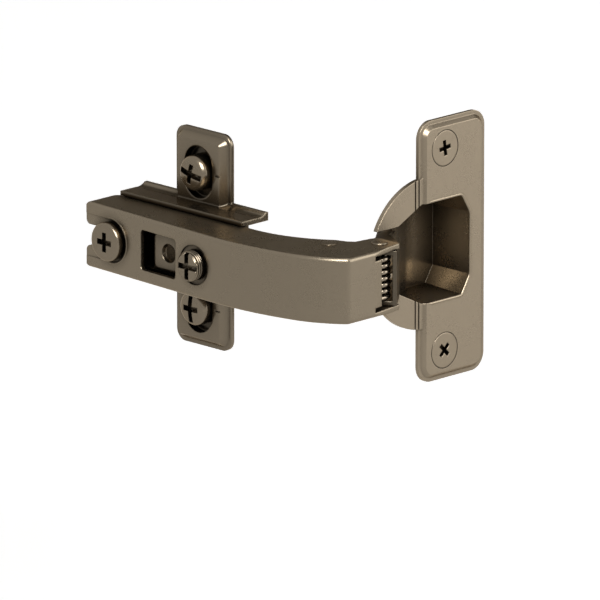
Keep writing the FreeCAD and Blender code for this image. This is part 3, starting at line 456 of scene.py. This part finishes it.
def round_angles(count: int) -> np.ndarray:
    """Returns equal steps round a full turn, without the last one, which is the first again."""
    return np.linspace(0.0, FULL_TURN, count, endpoint=False)


def run_length(path: np.ndarray) -> np.ndarray:
    """Returns how far along a path each of its points lies: the sum of the steps up to it."""
    return np.concatenate([[0.0], np.cumsum(np.linalg.norm(np.diff(path, axis=0), axis=1))])


def surface(name: str, grid: np.ndarray, finish: bpy.types.Material, ring: bool) -> bpy.types.Object:
    """Makes a closed mesh from a grid of points, in which each row is a loop round the piece's section.

    Args:
        name: name of the piece.
        grid: points in millimetres, of shape rows, columns and 3.
        finish: finish of the piece.
        ring: whether the last row joins the first; otherwise the sections shrink to nothing at both ends.

    Returns:
        The new object, in the frame's metres, with its doubled points merged and its faces pointing outwards.
    """
    rows, columns = grid.shape[:2]
    index = np.arange(rows * columns).reshape(rows, columns)
    index = np.concatenate([index, index[:1]]) if ring else index
    right = np.roll(index, -1, axis=1)
    quads = np.stack([index[:-1], right[:-1], right[1:], index[1:]], axis=-1).reshape(-1, 4)
    mesh = bpy.data.meshes.new(name)
    mesh.from_pydata((grid.reshape(-1, 3) * MM).tolist(), [], quads.tolist())
    shell = bmesh.new()
    shell.from_mesh(mesh)
    bmesh.ops.remove_doubles(shell, verts=shell.verts, dist=MERGE_DISTANCE)
    bmesh.ops.recalc_face_normals(shell, faces=shell.faces)
    shell.to_mesh(mesh)
    shell.free()
    mesh.shade_smooth()
    mesh.materials.append(finish)
    piece = bpy.data.objects.new(name, mesh)
    bpy.context.scene.collection.objects.link(piece)
    LOG.info("%s is new and has the finish %s", name, finish.name)
    return piece


@dataclass(frozen=True)
class ScrewThread:
    """The rolled thread that shows on the adjusting screw, above the arm's web.

    Attributes:
        centre: X and Z of the screw's axis.
        start: Y where the thread leaves the seat.
        end: Y where it runs out under the screw's face.
        root: radius of the screw's blank.
        height: height of the crest over the blank.
        foot: how deep the ridge reaches into the blank.
        pitch: distance from crest to crest.
        STEPS_PER_TURN: steps along the helix in one turn.
        PROFILE_STEPS: points over the crest, and again over the foot.
        FADE_ANGLE: angle over which the ridge grows from nothing at either end.
    """

    centre: tuple[float, float] = (15.2, 0.0)
    start: float = -19.30
    end: float = -21.15
    root: float = 3.28
    height: float = 0.24
    foot: float = 0.15
    pitch: float = 0.60

    STEPS_PER_TURN: ClassVar[int] = 72
    PROFILE_STEPS: ClassVar[int] = 9
    FADE_ANGLE: ClassVar[float] = FULL_TURN / 6

    def build(self, finish: bpy.types.Material) -> None:
        """Makes the thread as a helical ridge.

        At the angle a along the helix the ridge stands at Y = start - pitch * a / 2 pi. Across it, a profile
        parameter t runs from 0 to 1 on the crest's side, at the radius root + height * sin(pi t), and back on
        the foot's side, at the radius root - foot. Both move Y by pitch * (t - 1/2). Over the fade angle at
        either end, height and foot grow evenly from nothing.

        Args:
            finish: finish of the thread.
        """
        turns = (self.start - self.end) / self.pitch
        angle = np.linspace(0.0, FULL_TURN * turns, int(self.STEPS_PER_TURN * turns))[:, None]
        across = np.linspace(0.0, 1.0, self.PROFILE_STEPS)[None, :]
        fade = np.clip(np.minimum(angle, angle[-1] - angle) / self.FADE_ANGLE, 0.0, 1.0)
        crest = self.root + self.height * np.sin(np.pi * across) * fade
        foot = np.broadcast_to(self.root - self.foot * fade, crest.shape)
        radius = np.concatenate([crest, foot], axis=1)
        shift = self.pitch * (np.concatenate([across, across[:, ::-1]], axis=1) - 0.5)
        along = self.start - self.pitch * angle / FULL_TURN + shift
        x, z = self.centre[0] + radius * np.cos(angle), self.centre[1] + radius * np.sin(angle)
        thread = surface("side_screw_thread", points(x, along, z), finish, ring=False)
        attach(thread, "adjuster")


@dataclass(frozen=True)
class HeadShadowRing:
    """A thin dark ring of painted shadow round a flush screw head, standing in for the shade in the gap.

    Attributes:
        name: name of the piece.
        centre: X, Y and Z of the head's middle, in the wing's plane.
        radius: middle radius of the gap.
        width: width of the gap.
        rise: how far the painted shadow stands over the plane, so that it isn't lost in it.
        STEPS: steps round the head.
        PROFILE_STEPS: steps round the ring's section.
    """

    name: str
    centre: tuple[float, float, float]
    radius: float = 4.26
    width: float = 0.16
    rise: float = 0.012

    STEPS: ClassVar[int] = 96
    PROFILE_STEPS: ClassVar[int] = 12

    def build(self, finish: bpy.types.Material) -> None:
        """Makes the ring, an ellipse turned round the head's axis.

        At the angle a round the head and t round the ellipse, the distance from the axis is
        radius + width / 2 * cos t, and X moves by rise * sin t.

        Args:
            finish: finish of the painted shadow.
        """
        angle = round_angles(self.STEPS)[:, None]
        around = round_angles(self.PROFILE_STEPS)[None, :]
        radius = self.radius + self.width / 2 * np.cos(around)
        x = self.centre[0] + self.rise * np.sin(around)
        y, z = self.centre[1] + radius * np.cos(angle), self.centre[2] + radius * np.sin(angle)
        ring = surface(self.name, points(x, y, z), finish, ring=True)
        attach(ring, "cup")


@dataclass(frozen=True)
class RolledEdge:
    """A rolled sheet edge: a wire carried along a path, sunk into the face up to its crown.

    Attributes:
        radius: radius of the roll.
        inset: how far the roll's middle lies from the edge, along the face and into it alike.
        fade: length over which the roll sinks into the face at its two ends.
        PROFILE_STEPS: steps round the wire.
    """

    radius: float
    inset: float
    fade: float

    PROFILE_STEPS: ClassVar[int] = 24

    def build(
        self, name: str, path: np.ndarray, outward: np.ndarray, upward: np.ndarray, finish: bpy.types.Material
    ) -> bpy.types.Object:
        """Makes the roll.

        At the angle t round the wire, a point lies inset + radius * cos t outwards of the path and
        radius * sin t - inset above the face. Within the fade of either end, the radius is multiplied by the
        square root of the distance to that end over the fade.

        Args:
            name: name of the piece.
            path: points of the edge in millimetres, of shape rows and 3.
            outward: unit vectors along the face, away from the opening, of the same shape.
            upward: the face's unit vector.
            finish: finish of the sheet.

        Returns:
            The new piece.
        """
        along = run_length(path)
        thin = np.sqrt(np.clip(np.minimum(along, along[-1] - along) / self.fade, 0.0, 1.0))[:, None]
        around = round_angles(self.PROFILE_STEPS)[None, :]
        aside = (self.inset + self.radius * thin * np.cos(around))[..., None]
        above = (self.radius * thin * np.sin(around) - self.inset)[..., None]
        return surface(name, path[:, None] + aside * outward[:, None] + above * upward, finish, ring=False)


@dataclass(frozen=True)
class MouthRim:
    """The rolled edge of the cup's mouth, where the screw wing turns into the pocket.

    Attributes:
        corners: Y and Z of the mouth's corners, from the upper one on the arm's side round to the lower one.
        face: X of the wing's face.
        roll: the edge's roll.
        STEPS: points along the path.
        SMOOTHING: points of the running mean, an odd number.
    """

    corners: tuple[tuple[float, float], ...] = (
        (25.5, 11.85),
        (36.7, 11.85),
        (39.4, 7.4),
        (39.4, -7.4),
        (36.7, -11.85),
        (25.5, -11.85),
    )
    face: float = CUP_FACE
    roll: RolledEdge = RolledEdge(radius=0.38, inset=0.25, fade=1.2)

    STEPS: ClassVar[int] = 281
    SMOOTHING: ClassVar[int] = 9

    def build(self, finish: bpy.types.Material) -> None:
        """Makes the rim: the path runs straight from corner to corner, and a running mean rounds the corners.

        Args:
            finish: finish of the cup.
        """
        corners = np.array(self.corners)
        reach = run_length(corners)
        along = np.linspace(0.0, reach[-1], self.STEPS)
        raw = np.stack([np.interp(along, reach, corners[:, axis]) for axis in (0, 1)], -1)
        margin = self.SMOOTHING // 2
        padded = np.pad(raw, ((margin, margin), (0, 0)), mode="edge")
        mean = np.ones(self.SMOOTHING) / self.SMOOTHING
        flat = np.stack([np.convolve(padded[:, axis], mean, "valid") for axis in (0, 1)], -1)
        step = np.gradient(flat, axis=0)
        step = step / np.linalg.norm(step, axis=1)[:, None]
        path = np.insert(flat, 0, self.face, axis=1)
        outward = points(0.0, -step[:, 1], step[:, 0])
        rim = self.roll.build("cup_mouth_rim", path, outward, np.array([1.0, 0.0, 0.0]), finish)
        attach(rim, "cup")


@dataclass(frozen=True)
class DishRim:
    """The rolled edge of the shallow dish round the clamp screw, on the tilted web.

    Attributes:
        centre: X of the dish's middle.
        dish: radius of the dish.
        span: how far the edge reaches to either side of the arm's direction, in degrees.
        rear: X and Y of the web's rear end.
        tilt: tilt of the web in degrees.
        roll: the edge's roll.
        STEPS: points along the edge.
    """

    centre: float = -13.3
    dish: float = 5.1
    span: float = 112.0
    rear: tuple[float, float] = (-21.9, -17.4)
    tilt: float = 3.0
    roll: RolledEdge = RolledEdge(radius=0.30, inset=0.20, fade=1.5)

    STEPS: ClassVar[int] = 121

    def build(self, finish: bpy.types.Material) -> None:
        """Makes the rim: at the angle a, X is centre + dish * cos a, Z is dish * sin a and Y lies on the web.

        Args:
            finish: finish of the arm.
        """
        angle = np.radians(np.linspace(self.span, -self.span, self.STEPS))
        tilt = math.radians(self.tilt)
        x = self.centre + self.dish * np.cos(angle)
        y = self.rear[1] - (x - self.rear[0]) * math.tan(tilt)
        path = points(x, y, self.dish * np.sin(angle))
        outward = points(np.cos(angle) * math.cos(tilt), -np.cos(angle) * math.sin(tilt), np.sin(angle))
        upward = np.array([-math.sin(tilt), -math.cos(tilt), 0.0])
        rim = self.roll.build("clamp_dish_rim", path, outward, upward, finish)
        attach(rim, "arm")


@dataclass
class PlateAssembly:
    """The cross-shaped mounting plate, its two screws and the clamp screw.

    Attributes:
        sheet_nodes: the stamped plate.
        screw_nodes: the plate's two screws and the clamp screw, which share one finish.
    """

    sheet_nodes: tuple[str, ...] = ("mounting_plate",)
    screw_nodes: tuple[str, ...] = ("upper_plate_screw", "lower_plate_screw", "clamp_screw")

    def build(self, sheet: bpy.types.Material, screws: bpy.types.Material) -> None:
        """Dresses the plate and its screws.

        Args:
            sheet: finish of the stamped plate.
            screws: finish of the screws.
        """
        dress(sheet, *self.sheet_nodes)
        dress(screws, *self.screw_nodes)


@dataclass
class ArmAssembly:
    """The arm with its adjusting screw, pins and spring.

    Attributes:
        sheet_nodes: the folded arm.
        pin_nodes: the two riveted pins.
        screw_nodes: the adjusting screw.
        spring_nodes: the spring.
        thread: the adjusting screw's thread.
        dish: the edge of the dish round the clamp screw.
    """

    sheet_nodes: tuple[str, ...] = ("hinge_arm",)
    pin_nodes: tuple[str, ...] = ("spring_pin", "rear_link_pin")
    screw_nodes: tuple[str, ...] = ("side_adjusting_screw",)
    spring_nodes: tuple[str, ...] = ("closing_spring",)
    thread: ScrewThread = ScrewThread()
    dish: DishRim = DishRim()

    def build(
        self,
        sheet: bpy.types.Material,
        pins: bpy.types.Material,
        screws: bpy.types.Material,
        wire: bpy.types.Material,
    ) -> None:
        """Dresses the arm's pieces and adds the thread and the dish's edge.

        Args:
            sheet: finish of the folded arm.
            pins: finish of the riveted pins.
            screws: finish of the adjusting screw.
            wire: finish of the spring.
        """
        dress(sheet, *self.sheet_nodes)
        dress(pins, *self.pin_nodes)
        dress(screws, *self.screw_nodes)
        dress(wire, *self.spring_nodes)
        self.thread.build(screws)
        self.dish.build(sheet)


@dataclass
class LinkAssembly:
    """The two links and their axles in the cup.

    Attributes:
        link_nodes: the two links.
        axle_nodes: the two axles.
    """

    link_nodes: tuple[str, ...] = ("outer_link", "inner_link")
    axle_nodes: tuple[str, ...] = ("outer_cup_axle", "inner_cup_axle")

    def build(self, links: bpy.types.Material, axles: bpy.types.Material) -> None:
        """Dresses the links and their axles.

        Args:
            links: finish of the links, darkened with painted shade.
            axles: finish of the axles.
        """
        dress(links, *self.link_nodes)
        dress(axles, *self.axle_nodes)


@dataclass
class CupAssembly:
    """The cup and its two countersunk screws.

    Attributes:
        sheet_nodes: the drawn cup.
        screw_nodes: the two screws.
        rings: the painted shadow round each screw's head.
        rim: the edge of the cup's mouth.
    """

    sheet_nodes: tuple[str, ...] = ("hinge_cup",)
    screw_nodes: tuple[str, ...] = ("upper_cup_screw", "lower_cup_screw")
    rings: tuple[HeadShadowRing, ...] = (
        HeadShadowRing("upper_head_shadow", (CUP_FACE, CUP_SCREW_LINE, CUP_SCREW_PITCH / 2)),
        HeadShadowRing("lower_head_shadow", (CUP_FACE, CUP_SCREW_LINE, -CUP_SCREW_PITCH / 2)),
    )
    rim: MouthRim = MouthRim()

    def build(self, sheet: bpy.types.Material, screws: bpy.types.Material, gap: bpy.types.Material) -> None:
        """Dresses the cup and its screws, and adds the painted shadows round the heads and the mouth's edge.

        Args:
            sheet: finish of the drawn cup.
            screws: finish of the screws.
            gap: finish of the painted shadow round each head.
        """
        dress(sheet, *self.sheet_nodes)
        dress(screws, *self.screw_nodes)
        for ring in self.rings:
            ring.build(gap)
        self.rim.build(sheet)


def plain_paint(name: str, colour: tuple[float, float, float, float]) -> bpy.types.Material:
    """Makes a plain matt material for the studio.

    Args:
        name: material name.
        colour: linear colour.

    Returns:
        The new material.
    """
    material = bpy.data.materials.new(name)
    material.use_nodes = True
    shader = material.node_tree.nodes["Principled BSDF"]
    shader.inputs["Base Color"].default_value = colour
    shader.inputs["Roughness"].default_value = MATT
    return material


def board(name: str, corners: np.ndarray, paint: bpy.types.Material) -> bpy.types.Object:
    """Makes a flat board for the studio.

    Args:
        name: name of the board.
        corners: its four corners in metres, in order.
        paint: its material.

    Returns:
        The new object.
    """
    mesh = bpy.data.meshes.new(name)
    mesh.from_pydata(corners.tolist(), [], [(0, 1, 2, 3)])
    mesh.materials.append(paint)
    flat = bpy.data.objects.new(name, mesh)
    bpy.context.scene.collection.objects.link(flat)
    return flat


@dataclass
class Lamp:
    """A soft area lamp.

    Attributes:
        name: what it does.
        place: where it stands, in metres from the aim point.
        size: side of its square, in metres.
        watts: power.
        gloss_only: whether it shows only as a glint, and leaves the floor and the plain shading alone.
    """

    name: str
    place: tuple[float, float, float]
    size: float
    watts: float
    gloss_only: bool = False

    def build(self, aim: Vector) -> None:
        """Makes the lamp, turned to the aim point.

        Args:
            aim: the point it shines at, in metres.
        """
        data = bpy.data.lights.new(self.name, "AREA")
        data.shape = "SQUARE"
        data.size = self.size
        data.energy = self.watts
        lamp = bpy.data.objects.new(self.name, data)
        lamp.location = aim + Vector(self.place)
        lamp.rotation_mode = "QUATERNION"
        lamp.rotation_quaternion = (-Vector(self.place)).to_track_quat("-Z", "Y")
        lamp.visible_diffuse = not self.gloss_only
        bpy.context.scene.collection.objects.link(lamp)


@dataclass(frozen=True)
class DarkCard:
    """A dark card behind and left of the hinge, which shows only in reflections.

    Attributes:
        place: its middle, in metres from the aim point.
        width: its level side, in metres.
        height: its other side, in metres.
        colour: linear colour.
    """

    place: tuple[float, float, float] = (-0.40, 0.85, 0.50)
    width: float = 1.9
    height: float = 0.95
    colour: tuple[float, float, float, float] = (0.30, 0.285, 0.265, 1.0)

    def build(self, aim: Vector) -> None:
        """Makes the card: each corner is the middle plus or minus half the width and half the height.

        Args:
            aim: the point it faces, in metres.
        """
        middle = aim + Vector(self.place)
        level = Vector((0.0, 0.0, 1.0)).cross(Vector(self.place)).normalized()
        rise = Vector(self.place).normalized().cross(level)
        corners = np.array(middle) + SQUARE[:, :1] * self.width * np.array(level)
        corners = corners + SQUARE[:, 1:] * self.height * np.array(rise)
        card = board("dark card", corners, plain_paint("card paper", self.colour))
        card.visible_camera = False
        card.visible_shadow = False
        card.visible_diffuse = False


@dataclass
class Studio:
    """White floor and world, soft lamps, the dark card and the photograph's camera.

    Attributes:
        azimuth: how far the camera stands round from -Y towards +X, in degrees.
        elevation: how far it is raised, in degrees.
        sensor: width of its sensor in millimetres.
        photo_pixels: width and height of the photograph.
        pixels_per_mm: how large a millimetre of the hinge shows there.
        lens_pixels: focal length in the photograph's pixels.
        origin_pixel: where the frame's origin shows, from the left and from the top.
        clip_end: how far the camera sees, in metres.
        floor_drop: how far the floor lies under the hinge, in metres.
        floor_size: side of the floor, in metres.
        floor_colour: linear colour of the floor.
        floor_glow: strength with which the floor shines to the camera and in reflections.
        world_colour: linear colour of the world's light on the hinge.
        world_strength: strength of that light.
        lamps: the lamps.
        card: the dark card.
    """

    azimuth: float = 45.0
    elevation: float = 15.4
    sensor: float = 36.0
    photo_pixels: float = 600.0
    pixels_per_mm: float = 4.346
    lens_pixels: float = 12000.0
    origin_pixel: tuple[float, float] = (207.0, 237.2)
    clip_end: float = 50.0
    floor_drop: float = 0.045
    floor_size: float = 6.0
    floor_colour: tuple[float, float, float, float] = (0.97, 0.97, 0.97, 1.0)
    floor_glow: float = 0.55
    world_colour: tuple[float, float, float, float] = (1.0, 0.99, 0.97, 1.0)
    world_strength: float = 0.30
    lamps: list[Lamp] = field(
        default_factory=lambda: [
            Lamp("fill from the right", (1.10, 0.95, 0.40), 1.4, 18.0),
            Lamp("spark", (0.58, -0.52, 0.80), 0.75, 26.0, gloss_only=True),
        ]
    )
    card: DarkCard = DarkCard()

    def build(self) -> None:
        """Makes the world, the floor, the lamps, the card and the camera."""
        self._world()
        self._floor()
        low, high = CAD_BOX
        aim = (low + high) / 2
        for lamp in self.lamps:
            lamp.build(aim)
        self.card.build(aim)
        self._camera()
        bpy.context.scene.view_settings.view_transform = "Standard"

    @staticmethod
    def _seen(tree: bpy.types.NodeTree) -> bpy.types.NodeSocket:
        """Adds a mask for what the camera sees, directly or mirrored in the metal.

        Args:
            tree: the node tree of the world or of the floor's paint.

        Returns:
            A value socket, 1 for camera, glossy and transmission rays and 0 for the others.
        """
        path = tree.nodes.new("ShaderNodeLightPath")
        mask = path.outputs["Is Camera Ray"]
        for kind in ("Is Glossy Ray", "Is Transmission Ray"):
            either = tree.nodes.new("ShaderNodeMath")
            either.operation = "MAXIMUM"
            tree.links.new(mask, either.inputs[0])
            tree.links.new(path.outputs[kind], either.inputs[1])
            mask = either.outputs["Value"]
        return mask

    def _white_when_seen(self, tree: bpy.types.NodeTree, plain: bpy.types.NodeSocket) -> bpy.types.NodeSocket:
        """Mixes a shader with plain white where the world is seen.

        Args:
            tree: the node tree of the world.
            plain: the shader for the other rays.

        Returns:
            The mixed shader.
        """
        white = tree.nodes.new("ShaderNodeBackground")
        white.inputs["Color"].default_value = WHITE
        white.inputs["Strength"].default_value = 1.0
        mix = tree.nodes.new("ShaderNodeMixShader")
        tree.links.new(self._seen(tree), mix.inputs["Fac"])
        tree.links.new(plain, mix.inputs[1])
        tree.links.new(white.outputs["Background"], mix.inputs[2])
        return mix.outputs["Shader"]

    def _world(self) -> None:
        """Makes the white world."""
        world = bpy.data.worlds.new("studio")
        world.use_nodes = True
        tree = world.node_tree
        soft = tree.nodes["Background"]
        soft.inputs["Color"].default_value = self.world_colour
        soft.inputs["Strength"].default_value = self.world_strength
        shown = self._white_when_seen(tree, soft.outputs["Background"])
        tree.links.new(shown, tree.nodes["World Output"].inputs["Surface"])
        bpy.context.scene.world = world

    def _floor(self) -> None:
        """Makes the pale floor: z = lowest point less the drop, for x and y up to half the size."""
        low, _ = CAD_BOX
        x, y = (SQUARE * self.floor_size).T
        paint = plain_paint("floor paint", self.floor_colour)
        tree = paint.node_tree
        shader = tree.nodes["Principled BSDF"]
        shader.inputs["Emission Color"].default_value = WHITE
        glow = tree.nodes.new("ShaderNodeMath")
        glow.operation = "MULTIPLY"
        glow.inputs[1].default_value = self.floor_glow
        tree.links.new(self._seen(tree), glow.inputs[0])
        tree.links.new(glow.outputs["Value"], shader.inputs["Emission Strength"])
        floor = board("floor", points(x, y, low.z - self.floor_drop), paint)

    def _camera(self) -> None:
        """Puts the camera where the photograph's was.

        The image centre lies right of the frame's origin and below it, by their distance in the photograph's
        pixels over the pixels per millimetre.
        """
        turn, rise = math.radians(self.azimuth), math.radians(self.elevation)
        back = Vector((math.sin(turn) * math.cos(rise), -math.cos(turn) * math.cos(rise), math.sin(rise)))
        right = Vector((math.cos(turn), math.sin(turn), 0.0))
        up = back.cross(right)
        middle = self.photo_pixels / 2
        across = (middle - self.origin_pixel[0]) / self.pixels_per_mm * MM
        down = (middle - self.origin_pixel[1]) / self.pixels_per_mm * MM
        data = bpy.data.cameras.new("photo camera")
        data.sensor_width = self.sensor
        data.lens = self.lens_pixels * self.sensor / self.photo_pixels
        data.clip_end = self.clip_end
        camera = bpy.data.objects.new("photo camera", data)
        distance = self.lens_pixels / self.pixels_per_mm * MM
        camera.location = right * across - up * down + back * distance
        camera.rotation_mode = "QUATERNION"
        camera.rotation_quaternion = (-back).to_track_quat("-Z", "Y")
        bpy.context.scene.collection.objects.link(camera)
        bpy.context.scene.camera = camera


def main() -> None:
    """Builds the finishes, dresses each assembly and sets up the studio."""
    logging.basicConfig(level=logging.INFO)
    links = SHADED_LINK_STEEL.build()
    screws = SCREW_STEEL.build()
    pins = PIN_STEEL.build()
    wire = SPRING_STEEL.build()
    PlateAssembly().build(PLATE_STEEL.build(), screws)
    ArmAssembly().build(ARM_STEEL.build(), pins, screws, wire)
    LinkAssembly().build(links, pins)
    CupAssembly().build(CUP_STEEL.build(), FLUSH_STEEL.build(), GAP_SHADE.build())
    Studio().build()


if __name__ == "__main__":
    main()
